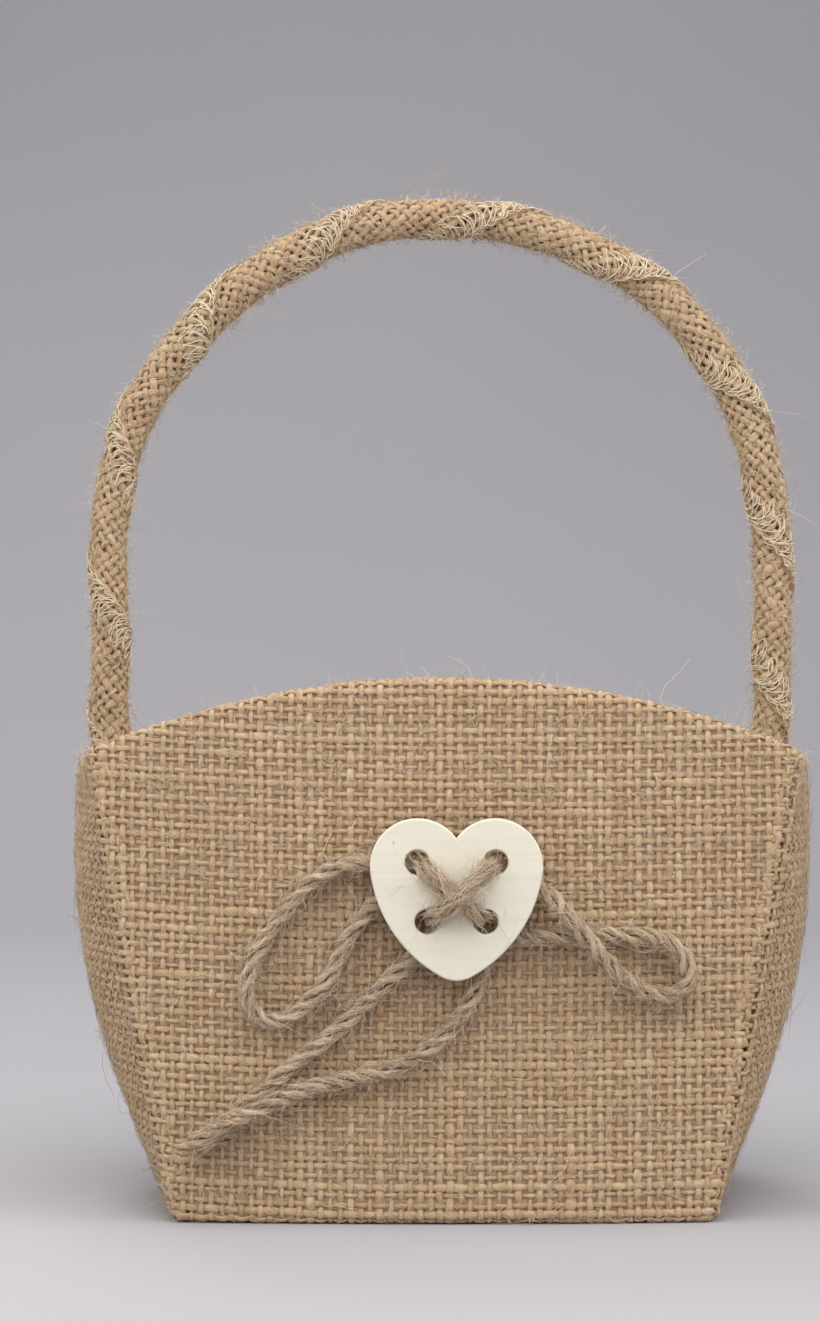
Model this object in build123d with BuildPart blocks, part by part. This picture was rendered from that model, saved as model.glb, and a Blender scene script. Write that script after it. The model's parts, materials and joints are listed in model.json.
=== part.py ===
"""Flower girl basket: burlap walls over card, a wrapped arch handle that tips, a heart button and a bow.

Millimetres, +Z up, +X to the basket's right, the decorated front facing -Y.
The origin is the middle of the underside, where the basket stands.
"""

from build123d import *

import os
from math import pi, radians, sin, tan

# Plan: a strip of constant depth, closed at each side by a gusset that bulges outwards.
HALF_DEPTH = 45.0
PANEL_BOW = 3.0
SEAM_HALF_WIDTH_LOW = 59.9
SEAM_TAPER = 0.181
GUSSET_BULGE_LOW = 4.5
GUSSET_BULGE_MORE = 9.4
GUSSET_BULGE_SPAN = 110.0

# Rim: an arch across the width, cut alike through the front, the back and the gussets.
RIM_CORNER_X = 79.0
RIM_CORNER_Z = 105.0
RIM_RISE = 15.7

# Layers of a wall, as distances in from the outer face.
BURLAP = 1.2
GAP = 0.1
BOARD = 1.0
LINING = 0.4
BOARD_OUT = BURLAP + GAP
BOARD_IN = BOARD_OUT + BOARD
LINING_OUT = BOARD_IN + GAP
LINING_IN = LINING_OUT + LINING
HEM_OUT = LINING_IN + GAP
HEM_IN = HEM_OUT + BURLAP

# How far under the rim each layer ends: the burlap turns over the board and down inside as a hem.
HEM_DROP = 12.0
BOARD_DROP = BURLAP + GAP
LINING_DROP = 6.0

# Floor, from the underside up.
BASE_BOARD_LOW = BURLAP + GAP
BASE_BOARD_HIGH = BASE_BOARD_LOW + BOARD
BASE_LINING_LOW = BASE_BOARD_HIGH + GAP
BASE_LINING_HIGH = BASE_LINING_LOW + LINING
WALL_LINING_LOW = BASE_LINING_HIGH + GAP
SECTION_HEIGHTS = (20.0, 40.0, 60.0, 80.0, 100.0, 125.0)
BIG = 400.0

# Handle: a half circle on two straight legs, tipping about a line through the two leg ends.
HANDLE_RADIUS = 78.0
ARCH_CENTRE_Z = 151.5
HINGE_Z = 109.0
WRAP_OUTER = 4.3
WRAP_INNER = 3.15
FILLER_OUTER = 3.1
FILLER_INNER = 1.05
WIRE_RADIUS = 1.0

# Handle tabs: the flattened ends of the wrap, sewn to the inside of each gusset's hem.
TAB_INNER_X = 79.3
TAB_OUTER_X = 80.7
TAB_WIDTH = 12.0
TAB_LOW = 84.0
TAB_HIGH = 103.8
TAB_CORNER = 2.5
STITCH_LENGTH = 2.4
STITCH_WIDTH = 0.7
STITCH_HEIGHT = 0.5
STITCH_ROWS = 5
STITCH_COLUMNS = 3
STITCH_PITCH_Y = 3.8
STITCH_PITCH_Z = 3.6

# Heart button.
HEART_X = 2.7
HEART_TOP_Z = 90.4
HEART_BACK_Y = -53.5
HEART_THICKNESS = 3.0
HEART_EDGE = 0.3
HEART_HOLE_RADIUS = 2.75
HEART_CLEFT = (0, -4.3)
HEART_LOBE_TOP = (10.0, 0)
HEART_WIDEST = (18.9, -11.7)
HEART_TIP_SIDE = (3.3, -34.6)
UPPER_HOLE = (8.6, -9.5)
LOWER_HOLE = (6.4, -22.5)

# Twine: the strands through the button, the knot behind it, and the bow's loops and tails.
TWINE = 3.6
BEND_SHARE = 0.45
STRAND_FRONT_Y = -58.5
STRAND_TOP_Y = -63.0
STRAND_SHOULDER_Y = -59.5
STRAND_SHOULDER_BEND = 3.6
STRAND_TOP_BEND = 6.0
STRAND_FRONT_BEND = 3.0
KNOT_X = 2.6
KNOT_Y = -50.8
KNOT_Z = 75.0
KNOT_WIDTH = 9.0
KNOT_DEPTH = 4.8
KNOT_HEIGHT = 11.0
KNOT_EDGE = 0.5

# Routes of the bow's four cords, each from the knot's face outwards and clear of the front panel.
LOOP_LEFT_ROUTE = [
    (-1.9, -50.8, 77.8),
    (-10.0, -50.6, 80.6),
    (-20.6, -50.1, 80.9),
    (-29.0, -49.9, 76.9),
    (-35.8, -49.5, 69.6),
    (-41.2, -49.2, 61.4),
    (-44.0, -49.0, 53.3),
    (-42.5, -49.0, 46.1),
    (-36.2, -49.4, 44.9),
    (-29.6, -49.7, 49.5),
    (-24.2, -49.9, 56.8),
    (-20.6, -50.0, 65.4),
    (-15.4, -50.4, 71.9),
    (-8.6, -50.6, 73.9),
    (-1.9, -50.8, 73.0),
]
LOOP_RIGHT_ROUTE = [
    (7.1, -50.8, 77.8),
    (14.8, -50.9, 78.0),
    (22.6, -51.9, 74.4),
    (28.5, -54.2, 67.6),
    (34.6, -54.2, 60.3),
    (40.7, -51.2, 53.6),
    (47.9, -49.5, 50.6),
    (54.6, -48.8, 52.7),
    (54.0, -48.8, 59.8),
    (47.2, -49.3, 64.4),
    (37.6, -49.8, 64.3),
    (26.7, -50.1, 64.9),
    (17.6, -50.5, 63.4),
    (12.2, -50.7, 69.6),
    (7.1, -50.8, 73.0),
]
TAIL_LEFT_ROUTE = [
    (0.2, -50.8, 69.5),
    (-2.4, -50.7, 64.0),
    (-8.4, -50.4, 58.4),
    (-15.6, -50.2, 51.0),
    (-23.1, -49.8, 43.7),
    (-32.3, -49.2, 36.7),
    (-41.2, -48.6, 29.0),
    (-49.0, -48.1, 22.6),
    (-55.5, -47.7, 15.8),
]
TAIL_RIGHT_ROUTE = [
    (4.8, -50.8, 69.5),
    (8.7, -50.9, 63.0),
    (8.3, -50.7, 54.8),
    (3.9, -50.5, 46.2),
    (-3.5, -50.5, 39.1),
    (-12.4, -50.4, 34.1),
    (-22.0, -50.2, 32.6),
    (-31.4, -50.9, 30.6),
    (-39.6, -52.2, 26.9),
    (-49.2, -52.3, 22.7),
    (-58.5, -51.9, 17.0),
]

SIDES = (("left", -1), ("right", 1))


def seam_half_width(z):
    """Half the width of the basket at the seams, at height z."""
    return SEAM_HALF_WIDTH_LOW + SEAM_TAPER * z


def gusset_bulge(z):
    """How far a gusset stands out past the seams, at height z."""
    return GUSSET_BULGE_LOW + GUSSET_BULGE_MORE * sin(pi * min(z, GUSSET_BULGE_SPAN) / GUSSET_BULGE_SPAN)


def basket_core(inset, low):
    """Return the solid inside the walls' outer face moved in by inset, from height low up past the rim."""
    half_depth = HALF_DEPTH - inset
    with BuildPart() as core:
        for z in (low, *SECTION_HEIGHTS):
            half_width = seam_half_width(z) - inset
            side = half_width + gusset_bulge(z)
            with BuildSketch(Plane.XY.offset(z)):
                with BuildLine():
                    ThreePointArc(
                        (-half_width, -half_depth), (0, -half_depth - PANEL_BOW), (half_width, -half_depth)
                    )
                    ThreePointArc((half_width, -half_depth), (side, 0), (half_width, half_depth))
                    ThreePointArc(
                        (half_width, half_depth), (0, half_depth + PANEL_BOW), (-half_width, half_depth)
                    )
                    ThreePointArc((-half_width, half_depth), (-side, 0), (-half_width, -half_depth))
                make_face()
        loft()
    return core.part


def under_rim(drop):
    """Return everything below the arched rim lowered by drop."""
    with BuildPart() as below:
        with BuildSketch(Plane.XZ):
            with BuildLine():
                arch = ThreePointArc(
                    (-RIM_CORNER_X, RIM_CORNER_Z - drop),
                    (0, RIM_CORNER_Z + RIM_RISE - drop),
                    (RIM_CORNER_X, RIM_CORNER_Z - drop),
                )
                right_fall = Line(arch @ 1, arch @ 1 + (arch % 1) * HALF_DEPTH)
                left_fall = Line(arch @ 0, arch @ 0 - (arch % 0) * HALF_DEPTH)
                Polyline(right_fall @ 1, (BIG, -BIG), (-BIG, -BIG), left_fall @ 1)
            make_face()
        extrude(amount=BIG, both=True)
    return below.part


def wall_layer(outer, inner, low, drop):
    """Return one layer all the way round the walls, between two insets, from height low to the rim less drop."""
    with BuildPart() as layer:
        add(basket_core(outer, low))
        add(basket_core(inner, low), mode=Mode.SUBTRACT)
        add(under_rim(drop), mode=Mode.INTERSECT)
    return layer.part


def quarter(layer, inner, name):
    """Return the front, back, left or right share of a layer, which parts at its inner corners."""
    corner = HALF_DEPTH - inner
    with BuildPart() as piece:
        add(layer)
        with BuildSketch(Plane.XY.offset(-BIG)):
            if name == "front":
                with Locations((0, -corner)):
                    Rectangle(BIG, BIG, align=(Align.CENTER, Align.MAX))
            if name == "back":
                with Locations((0, corner)):
                    Rectangle(BIG, BIG, align=(Align.CENTER, Align.MIN))
            if name == "left":
                Rectangle(BIG, 2 * corner, align=(Align.MAX, Align.CENTER))
            if name == "right":
                Rectangle(BIG, 2 * corner, align=(Align.MIN, Align.CENTER))
        extrude(amount=2 * BIG, mode=Mode.INTERSECT)
    return piece.part


def burlap_walls():
    """Return the outer burlap with its top edge turned over the board and down inside as a hem."""
    with BuildPart() as hem_gap:
        add(wall_layer(BURLAP, HEM_OUT, BURLAP, BOARD_DROP - GAP))
    with BuildPart() as below_hem:
        add(wall_layer(BURLAP, HEM_IN, BURLAP, HEM_DROP))
    with BuildPart() as walls:
        add(wall_layer(0, HEM_IN, BURLAP, 0))
        add(hem_gap.part, mode=Mode.SUBTRACT)
        add(below_hem.part, mode=Mode.SUBTRACT)
    return walls.part


def floor_plate(inset, low, high):
    """Return one flat layer of the basket's floor, between two heights."""
    with BuildPart() as plate:
        add(basket_core(inset, low))
        with BuildSketch(Plane.XY.offset(high)):
            Rectangle(BIG, BIG)
        extrude(amount=BIG, mode=Mode.SUBTRACT)
    return plate.part


def handle_tube(outer, inner, low):
    """Return a round tube, or a rod where inner is 0, along the handle's legs and arch from height low."""
    with BuildPart() as tube:
        with BuildLine(Plane.XZ):
            left_leg = Line((-HANDLE_RADIUS, low), (-HANDLE_RADIUS, ARCH_CENTRE_Z))
            arch = ThreePointArc(
                left_leg @ 1, (0, ARCH_CENTRE_Z + HANDLE_RADIUS), (HANDLE_RADIUS, ARCH_CENTRE_Z)
            )
            Line(arch @ 1, (HANDLE_RADIUS, low))
        with BuildSketch(Plane.XY.offset(low)):
            with Locations((-HANDLE_RADIUS, 0)):
                Circle(outer)
                if inner > 0:
                    Circle(inner, mode=Mode.SUBTRACT)
        sweep()
    return tube.part


def cord(name, route):
    """Return a round cord along a hand-laid route: straight runs joined by arcs as large as the runs allow."""
    points = [Vector(*point) for point in route]
    runs = [end - start for start, end in zip(points, points[1:])]
    bends = []
    for before, after in zip(runs, runs[1:]):
        shorter = min(before.length, after.length)
        bends.append(BEND_SHARE * shorter / tan(radians(before.get_angle(after)) / 2))
    with BuildPart() as tube:
        with BuildLine() as path:
            FilletPolyline(*points, radius=bends)
        with BuildSketch(Plane(origin=points[0], z_dir=runs[0])):
            Circle(TWINE / 2)
        sweep()
    length = path.wire().length
    share = tube.part.volume / (length * pi * TWINE**2 / 4)
    print(name, "length", round(length, 1), "volume share", round(share, 4))
    print("  radii", [round(bend, 1) for bend in bends])
    return tube.part


def hole_point(place, side, y):
    """Return a point on the axis of one of the button's holes, at depth y."""
    return Vector(HEART_X + side * place[0], y, HEART_TOP_Z + place[1])


def strand_over():
    """Return the twine that crosses the button on top, from its upper right hole to its lower left."""
    start = hole_point(UPPER_HOLE, 1, HEART_BACK_Y)
    end = hole_point(LOWER_HOLE, -1, HEART_BACK_Y)
    middle = (start + end) * 0.5
    route = [
        start,
        Vector(start.X, STRAND_SHOULDER_Y, start.Z),
        Vector(middle.X, STRAND_TOP_Y, middle.Z),
        Vector(end.X, STRAND_SHOULDER_Y, end.Z),
        end,
    ]
    with BuildPart() as strand:
        with BuildLine():
            FilletPolyline(*route, radius=[STRAND_SHOULDER_BEND, STRAND_TOP_BEND, STRAND_SHOULDER_BEND])
        with BuildSketch(Plane(origin=start, z_dir=(0, -1, 0))):
            Circle(TWINE / 2)
        sweep()
    return strand.part


def strand_under():
    """Return the twine that crosses the button underneath, from its upper left hole to its lower right."""
    start = hole_point(UPPER_HOLE, -1, HEART_BACK_Y)
    end = hole_point(LOWER_HOLE, 1, HEART_BACK_Y)
    route = [
        start,
        Vector(start.X, STRAND_FRONT_Y, start.Z),
        Vector(end.X, STRAND_FRONT_Y, end.Z),
        end,
    ]
    with BuildPart() as strand:
        with BuildLine():
            FilletPolyline(*route, radius=STRAND_FRONT_BEND)
        with BuildSketch(Plane(origin=start, z_dir=(0, -1, 0))):
            Circle(TWINE / 2)
        sweep()
    return strand.part


def keep(piece, name):
    """Label a finished piece and write it to its own file."""
    piece.label = name
    export_step(piece, f"parts/{name}.step")


os.makedirs("parts", exist_ok=True)

burlap = burlap_walls()
board = wall_layer(BOARD_OUT, BOARD_IN, BASE_LINING_HIGH, BOARD_DROP)
lining = wall_layer(LINING_OUT, LINING_IN, WALL_LINING_LOW, LINING_DROP)

with BuildPart() as front_panel:
    add(quarter(burlap, HEM_IN, "front"))
keep(front_panel.part, "front_panel")

with BuildPart() as back_panel:
    add(quarter(burlap, HEM_IN, "back"))
keep(back_panel.part, "back_panel")

with BuildPart() as bottom_panel:
    add(floor_plate(0, 0, BURLAP))
keep(bottom_panel.part, "bottom_panel")

with BuildPart() as front_board:
    add(quarter(board, BOARD_IN, "front"))
keep(front_board.part, "front_board")

with BuildPart() as back_board:
    add(quarter(board, BOARD_IN, "back"))
keep(back_board.part, "back_board")

with BuildPart() as base_board:
    add(floor_plate(BOARD_OUT, BASE_BOARD_LOW, BASE_BOARD_HIGH))
keep(base_board.part, "base_board")

with BuildPart() as front_lining:
    add(quarter(lining, LINING_IN, "front"))
keep(front_lining.part, "front_lining")

with BuildPart() as back_lining:
    add(quarter(lining, LINING_IN, "back"))
keep(back_lining.part, "back_lining")

with BuildPart() as bottom_lining:
    add(floor_plate(BOARD_OUT, BASE_LINING_LOW, BASE_LINING_HIGH))
keep(bottom_lining.part, "bottom_lining")

for side_name, side in SIDES:
    with BuildPart() as gusset:
        add(quarter(burlap, HEM_IN, side_name))
    keep(gusset.part, f"{side_name}_gusset")

    with BuildPart() as gusset_board:
        add(quarter(board, BOARD_IN, side_name))
    keep(gusset_board.part, f"{side_name}_board")

    with BuildPart() as gusset_lining:
        add(quarter(lining, LINING_IN, side_name))
    keep(gusset_lining.part, f"{side_name}_lining")

    with BuildPart() as handle_tab:
        with BuildSketch(Plane.YZ.offset(side * TAB_INNER_X)):
            with Locations((0, (TAB_LOW + TAB_HIGH) / 2)):
                RectangleRounded(TAB_WIDTH, TAB_HIGH - TAB_LOW, TAB_CORNER)
        extrude(amount=side * (TAB_OUTER_X - TAB_INNER_X))
    keep(handle_tab.part, f"{side_name}_handle_tab")

    with BuildPart() as tab_stitches:
        with BuildSketch(Plane.YZ.offset(side * TAB_INNER_X)):
            with Locations((0, (TAB_LOW + TAB_HIGH) / 2)):
                with GridLocations(STITCH_PITCH_Y, STITCH_PITCH_Z, STITCH_COLUMNS, STITCH_ROWS):
                    SlotOverall(STITCH_LENGTH, STITCH_WIDTH)
        extrude(amount=-side * STITCH_HEIGHT)
    keep(tab_stitches.part, f"{side_name}_tab_stitches")

with BuildPart() as handle_wrap:
    add(handle_tube(WRAP_OUTER, WRAP_INNER, HINGE_Z))
    for side in (-1, 1):
        with Locations((side * HANDLE_RADIUS, 0, HINGE_Z)):
            Sphere(WRAP_OUTER, arc_size1=-90, arc_size2=0, align=(Align.CENTER, Align.CENTER, Align.MAX))
keep(handle_wrap.part, "handle_wrap")

with BuildPart() as handle_filler:
    add(handle_tube(FILLER_OUTER, FILLER_INNER, HINGE_Z + GAP))
keep(handle_filler.part, "handle_filler")

with BuildPart() as handle_wire:
    add(handle_tube(WIRE_RADIUS, 0, HINGE_Z + GAP))
keep(handle_wire.part, "handle_wire")

with BuildPart() as heart_button:
    with BuildSketch(Plane((HEART_X, HEART_BACK_Y, HEART_TOP_Z), x_dir=(1, 0, 0), z_dir=(0, -1, 0))):
        with BuildLine():
            right_lobe = ThreePointArc(HEART_CLEFT, HEART_LOBE_TOP, HEART_WIDEST)
            right_flank = TangentArc(right_lobe @ 1, HEART_TIP_SIDE, tangent=right_lobe % 1)
            mirror(about=Plane.YZ)
            tip_left = (-HEART_TIP_SIDE[0], HEART_TIP_SIDE[1])
            TangentArc(right_flank @ 1, tip_left, tangent=right_flank % 1)
        make_face()
        for across, down in (UPPER_HOLE, LOWER_HOLE):
            with Locations((across, down), (-across, down)):
                Circle(HEART_HOLE_RADIUS, mode=Mode.SUBTRACT)
    extrude(amount=HEART_THICKNESS)
    front_edges = heart_button.faces().sort_by(Axis.Y)[0].edges()
    chamfer(front_edges, HEART_EDGE)
keep(heart_button.part, "heart_button")

with BuildPart() as button_twine_over:
    add(strand_over())
keep(button_twine_over.part, "button_twine_over")

with BuildPart() as button_twine_under:
    add(strand_under())
keep(button_twine_under.part, "button_twine_under")

with BuildPart() as bow_knot:
    with Locations((KNOT_X, KNOT_Y, KNOT_Z)):
        Box(KNOT_WIDTH, KNOT_DEPTH, KNOT_HEIGHT)
    fillet(bow_knot.edges(), KNOT_EDGE)
keep(bow_knot.part, "bow_knot")

with BuildPart() as bow_loop_left:
    add(cord("bow_loop_left", LOOP_LEFT_ROUTE))
keep(bow_loop_left.part, "bow_loop_left")

with BuildPart() as bow_loop_right:
    add(cord("bow_loop_right", LOOP_RIGHT_ROUTE))
keep(bow_loop_right.part, "bow_loop_right")

with BuildPart() as bow_tail_left:
    add(cord("bow_tail_left", TAIL_LEFT_ROUTE))
keep(bow_tail_left.part, "bow_tail_left")

with BuildPart() as bow_tail_right:
    add(cord("bow_tail_right", TAIL_RIGHT_ROUTE))
keep(bow_tail_right.part, "bow_tail_right")
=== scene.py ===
"""The flower girl basket's looks: woven burlap walls, a wound burlap handle, a heart button and a jute bow.

Shapes are worked out in millimetres and scaled to metres as each mesh is made.
"""

import json
import math

import bpy
import numpy as np
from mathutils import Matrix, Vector


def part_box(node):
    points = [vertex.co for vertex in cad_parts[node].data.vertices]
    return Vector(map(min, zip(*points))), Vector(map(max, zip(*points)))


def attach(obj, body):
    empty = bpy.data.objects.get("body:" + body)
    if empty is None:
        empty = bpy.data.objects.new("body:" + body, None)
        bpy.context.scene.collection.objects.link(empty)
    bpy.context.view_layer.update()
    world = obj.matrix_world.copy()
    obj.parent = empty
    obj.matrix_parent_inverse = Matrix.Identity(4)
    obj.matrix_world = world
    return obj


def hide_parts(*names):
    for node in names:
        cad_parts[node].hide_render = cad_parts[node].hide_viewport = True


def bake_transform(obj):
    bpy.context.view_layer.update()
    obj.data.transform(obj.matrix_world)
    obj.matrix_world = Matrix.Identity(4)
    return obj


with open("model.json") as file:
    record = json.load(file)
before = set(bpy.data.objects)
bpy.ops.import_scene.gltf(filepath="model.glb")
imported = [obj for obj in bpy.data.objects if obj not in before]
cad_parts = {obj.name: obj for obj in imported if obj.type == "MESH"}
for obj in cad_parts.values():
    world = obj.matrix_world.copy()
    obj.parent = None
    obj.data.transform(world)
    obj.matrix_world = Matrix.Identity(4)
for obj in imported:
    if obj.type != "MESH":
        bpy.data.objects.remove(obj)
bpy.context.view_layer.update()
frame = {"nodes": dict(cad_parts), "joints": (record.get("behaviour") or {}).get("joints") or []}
MM = 0.001
SEED = 11

# The walls' shape, as the frame has it.
HALF_DEPTH = 45.0
PANEL_BOW = 3.0
SEAM_HALF_WIDTH_LOW = 59.9
SEAM_TAPER = 0.181
BULGE_LOW = 4.5
BULGE_MORE = 9.4
BULGE_SPAN = 110.0
RIM_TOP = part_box("front_panel")[1].z / MM
RIM_RISE = 15.7
RIM_CORNER_X = 79.0
RIM_RADIUS = (RIM_CORNER_X**2 + RIM_RISE**2) / (2 * RIM_RISE)

# The cloth: how deep its middle lies in the wall, and how it turns at the rim, the seams and the floor.
CLOTH_INSET = 0.85
RIM_ROLL = 1.25
SEAM_ROLL = 0.9
SEAM_INSET = 0.2
FACE_SEAM_TURN = 1.6
GUSSET_SEAM_TURN = 0.8
RIDGE = 1.4
RIDGE_IN = 1.9
RIDGE_WIDTH = 1.1
CUT_LOW = -0.5
FLOOR_ROLL = 1.0
FLOOR_CLOTH = 0.9
FLOOR_EDGE = 1.4
HEM = 9.0
FACE_HEM_NARROWER = 3.2
GUSSET_HEM_NARROWER = 3.6

# The weave: the spacing of its yarns, how far they wave in and out, half their width and thickness, how much
# their widths vary, how the weft sags, the steps between two crossings and the fewest points in a yarn.
PITCH_ACROSS = 2.21
PITCH_UP = 2.07
WARP_WAVE = 0.38
WARP_HALF_WIDTH = 0.60
WARP_HALF_THICK = 0.38
WARP_SPREAD = 0.16
WEFT_WAVE = 0.30
WEFT_HALF_WIDTH = 0.56
WEFT_HALF_THICK = 0.36
WEFT_SPREAD = 0.18
SAG_LEFT = 0.00044
SAG_RIGHT = 0.00016
STEPS = 3
SHORTEST_RUN = 5

# Loose fibres: how far they may reach to the front and down, and how many lie on each part.
FIBRE_FOREMOST = -71.0
FIBRE_LOWEST = 0.3
FRONT_FIBRES = 9200
BACK_FIBRES = 3600
GUSSET_FIBRES = 4600
HANDLE_FIBRES = 9400
TWINE_FIBRES_PER_MM = 15.0
BUTTON_FIBRES_PER_MM = 20.0

# The lining: how deep it lies, where it starts and how far under the rim it ends.
LINING_INSET = 2.6
LINING_LOW = 3.0
LINING_DROP = 7.5
LINING_RIM_REACH = 74.0
LINING_SIDE_TOP = 98.0
LINING_FLOOR = 2.75
LINING_FLOOR_HALF_WIDTH = 57.8
LINING_FLOOR_HALF_DEPTH = 42.3
LINING_THICK = 0.35

# The handle: its hinge, legs and arch, and the strip wound on it.
HINGE_Z = frame["joints"][0]["pos_m"][2] / MM
HANDLE_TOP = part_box("handle_wrap")[1].z / MM
WRAP_RADIUS = 4.3
HANDLE_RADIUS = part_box("handle_wrap")[1].x / MM - WRAP_RADIUS
ARCH_CENTRE_Z = HANDLE_TOP - WRAP_RADIUS - HANDLE_RADIUS
TAB_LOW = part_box("left_handle_tab")[0].z / MM
TAB_X = 79.6
TAB_HALF_WIDTH = 5.4
TAB_HALF_THICK = 0.75
FLAT_UNDER_HINGE = 2.0
FLATTENS_OVER = 9.0
WIND_PITCH = 36.5
STRIP_WIDTH = 25.0
STRIP_PITCH = 2.15
STRIP_WAVE = 0.36
STRIP_HALF_WIDTH = 0.70
STRIP_HALF_THICK = 0.42
STRIP_DEPTH = 0.55
LAP_WIDTH = 7.0
LAP_RAMP = 3.5
LAP_RISE = 0.75
SERGE_RADIUS = 0.14
SERGE_LIFT = 0.78
SERGE_SPACING = 0.28
CORE_STRANDS = 9
CORE_REACH = 2.2
CORE_TWIST = 9.0
LEG = ARCH_CENTRE_Z - TAB_LOW
ARC = math.pi * HANDLE_RADIUS
HANDLE_LENGTH = 2 * LEG + ARC
HINGE_AT = HINGE_Z - TAB_LOW
CIRCUMFERENCE = 2 * math.pi * WRAP_RADIUS
WIND_ANGLE = math.atan2(CIRCUMFERENCE, WIND_PITCH)
STRIP_LENGTH = HANDLE_LENGTH / math.cos(WIND_ANGLE) + STRIP_WIDTH
STRIP_PHASE = HINGE_AT * math.cos(WIND_ANGLE)

# The heart button and the twine.
HEART_LOW, HEART_HIGH = (np.array(corner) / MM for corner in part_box("heart_button"))
HEART_X = (HEART_LOW[0] + HEART_HIGH[0]) / 2
HEART_TOP = HEART_HIGH[2]
HEART_FRONT = HEART_LOW[1]
HEART_BACK = HEART_HIGH[1]
UPPER_HOLE = (8.6, -9.5)
LOWER_HOLE = (6.4, -22.5)
TWINE_LOOSE = 4.1
TWINE_PITCH = 15.0
BUTTON_TWINE = 4.2
BUTTON_TWINE_PITCH = 30.0
BUTTON_TWINE_FLAT = 0.78
PLIES = 3
STRANDS = 7
TOWARDS_WALL = 0.35
KNOT_TWINE = 2.5
KNOT_PITCH = 11.0
KNOT_SPACING = 2.4
KNOT_LOW, KNOT_HIGH = (np.array(corner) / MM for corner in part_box("bow_knot"))
KNOT = (KNOT_LOW + KNOT_HIGH) / 2

# The bow's routes, in metres: the same points as the frame's cords.
ROUTES = {
    "bow_loop_left": [
        (-0.0019, -0.0508, 0.0778),
        (-0.0100, -0.0506, 0.0806),
        (-0.0206, -0.0501, 0.0809),
        (-0.0290, -0.0499, 0.0769),
        (-0.0358, -0.0495, 0.0696),
        (-0.0412, -0.0492, 0.0614),
        (-0.0440, -0.0490, 0.0533),
        (-0.0425, -0.0490, 0.0461),
        (-0.0362, -0.0494, 0.0449),
        (-0.0296, -0.0497, 0.0495),
        (-0.0242, -0.0499, 0.0568),
        (-0.0206, -0.0500, 0.0654),
        (-0.0154, -0.0504, 0.0719),
        (-0.0086, -0.0506, 0.0739),
        (-0.0019, -0.0508, 0.0730),
    ],
    "bow_loop_right": [
        (0.0071, -0.0508, 0.0778),
        (0.0148, -0.0509, 0.0780),
        (0.0226, -0.0519, 0.0744),
        (0.0285, -0.0542, 0.0676),
        (0.0346, -0.0542, 0.0603),
        (0.0407, -0.0512, 0.0536),
        (0.0479, -0.0495, 0.0506),
        (0.0546, -0.0488, 0.0527),
        (0.0540, -0.0488, 0.0598),
        (0.0472, -0.0493, 0.0644),
        (0.0376, -0.0498, 0.0643),
        (0.0267, -0.0501, 0.0649),
        (0.0176, -0.0505, 0.0634),
        (0.0122, -0.0507, 0.0696),
        (0.0071, -0.0508, 0.0730),
    ],
    "bow_tail_left": [
        (0.0002, -0.0508, 0.0695),
        (-0.0024, -0.0507, 0.0640),
        (-0.0084, -0.0504, 0.0584),
        (-0.0156, -0.0502, 0.0510),
        (-0.0231, -0.0498, 0.0437),
        (-0.0323, -0.0492, 0.0367),
        (-0.0412, -0.0486, 0.0290),
        (-0.0490, -0.0481, 0.0226),
        (-0.0555, -0.0477, 0.0158),
    ],
    "bow_tail_right": [
        (0.0048, -0.0508, 0.0695),
        (0.0087, -0.0509, 0.0630),
        (0.0083, -0.0507, 0.0548),
        (0.0039, -0.0505, 0.0462),
        (-0.0035, -0.0505, 0.0391),
        (-0.0124, -0.0504, 0.0341),
        (-0.0220, -0.0502, 0.0326),
        (-0.0314, -0.0509, 0.0306),
        (-0.0396, -0.0522, 0.0269),
        (-0.0492, -0.0523, 0.0227),
        (-0.0585, -0.0519, 0.0170),
    ],
}

# The camera and the stage, in metres, but for the lens, in millimetres, and the lights' colour.
CAMERA_PLACE = (-0.0075, -0.818, 0.1252)
CAMERA_LENS = 94.7
FLOOR_HALF = 3.0
FLOOR_BACK = 0.8
BACKDROP_CURVE = 0.5
MIDDLE = (0.0, 0.0, 0.11)
SOFT_WHITE = (1.0, 0.985, 0.96)

# Directions: towards the front, and each side's sign.
FRONT = np.array([0.0, -1.0, 0.0])
SIDES = (("left", -1), ("right", 1))


# ---------------------------------------------------------------- materials


def shader(name, roughness, sheen=0.0):
    """Return a new material, its node tree and its Principled shader."""
    material = bpy.data.materials.new(name)
    material.use_nodes = True
    tree = material.node_tree
    principled = tree.nodes["Principled BSDF"]
    principled.inputs["Roughness"].default_value = roughness
    principled.inputs["Sheen Weight"].default_value = sheen
    principled.inputs["Sheen Roughness"].default_value = 0.5
    return material, tree, principled


def ramp(tree, value, stops):
    """Return the colour output of a ramp through the given (place, colour) stops."""
    node = tree.nodes.new("ShaderNodeValToRGB")
    node.color_ramp.elements.remove(node.color_ramp.elements[1])
    node.color_ramp.elements[0].position = stops[0][0]
    node.color_ramp.elements[0].color = (*stops[0][1], 1)
    for place, colour in stops[1:]:
        node.color_ramp.elements.new(place).color = (*colour, 1)
    tree.links.new(value, node.inputs["Fac"])
    return node.outputs["Color"]


def paint(tree, principled, value, stops):
    """Colour a shader by a value put through a ramp."""
    tree.links.new(ramp(tree, value, stops), principled.inputs["Base Color"])


def noise(tree, vector, scale, detail=3.0, roughness=0.55):
    """Return the value output of a noise texture on the given coordinates."""
    node = tree.nodes.new("ShaderNodeTexNoise")
    node.inputs["Scale"].default_value = scale
    node.inputs["Detail"].default_value = detail
    node.inputs["Roughness"].default_value = roughness
    tree.links.new(vector, node.inputs["Vector"])
    return node.outputs["Fac"]


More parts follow.
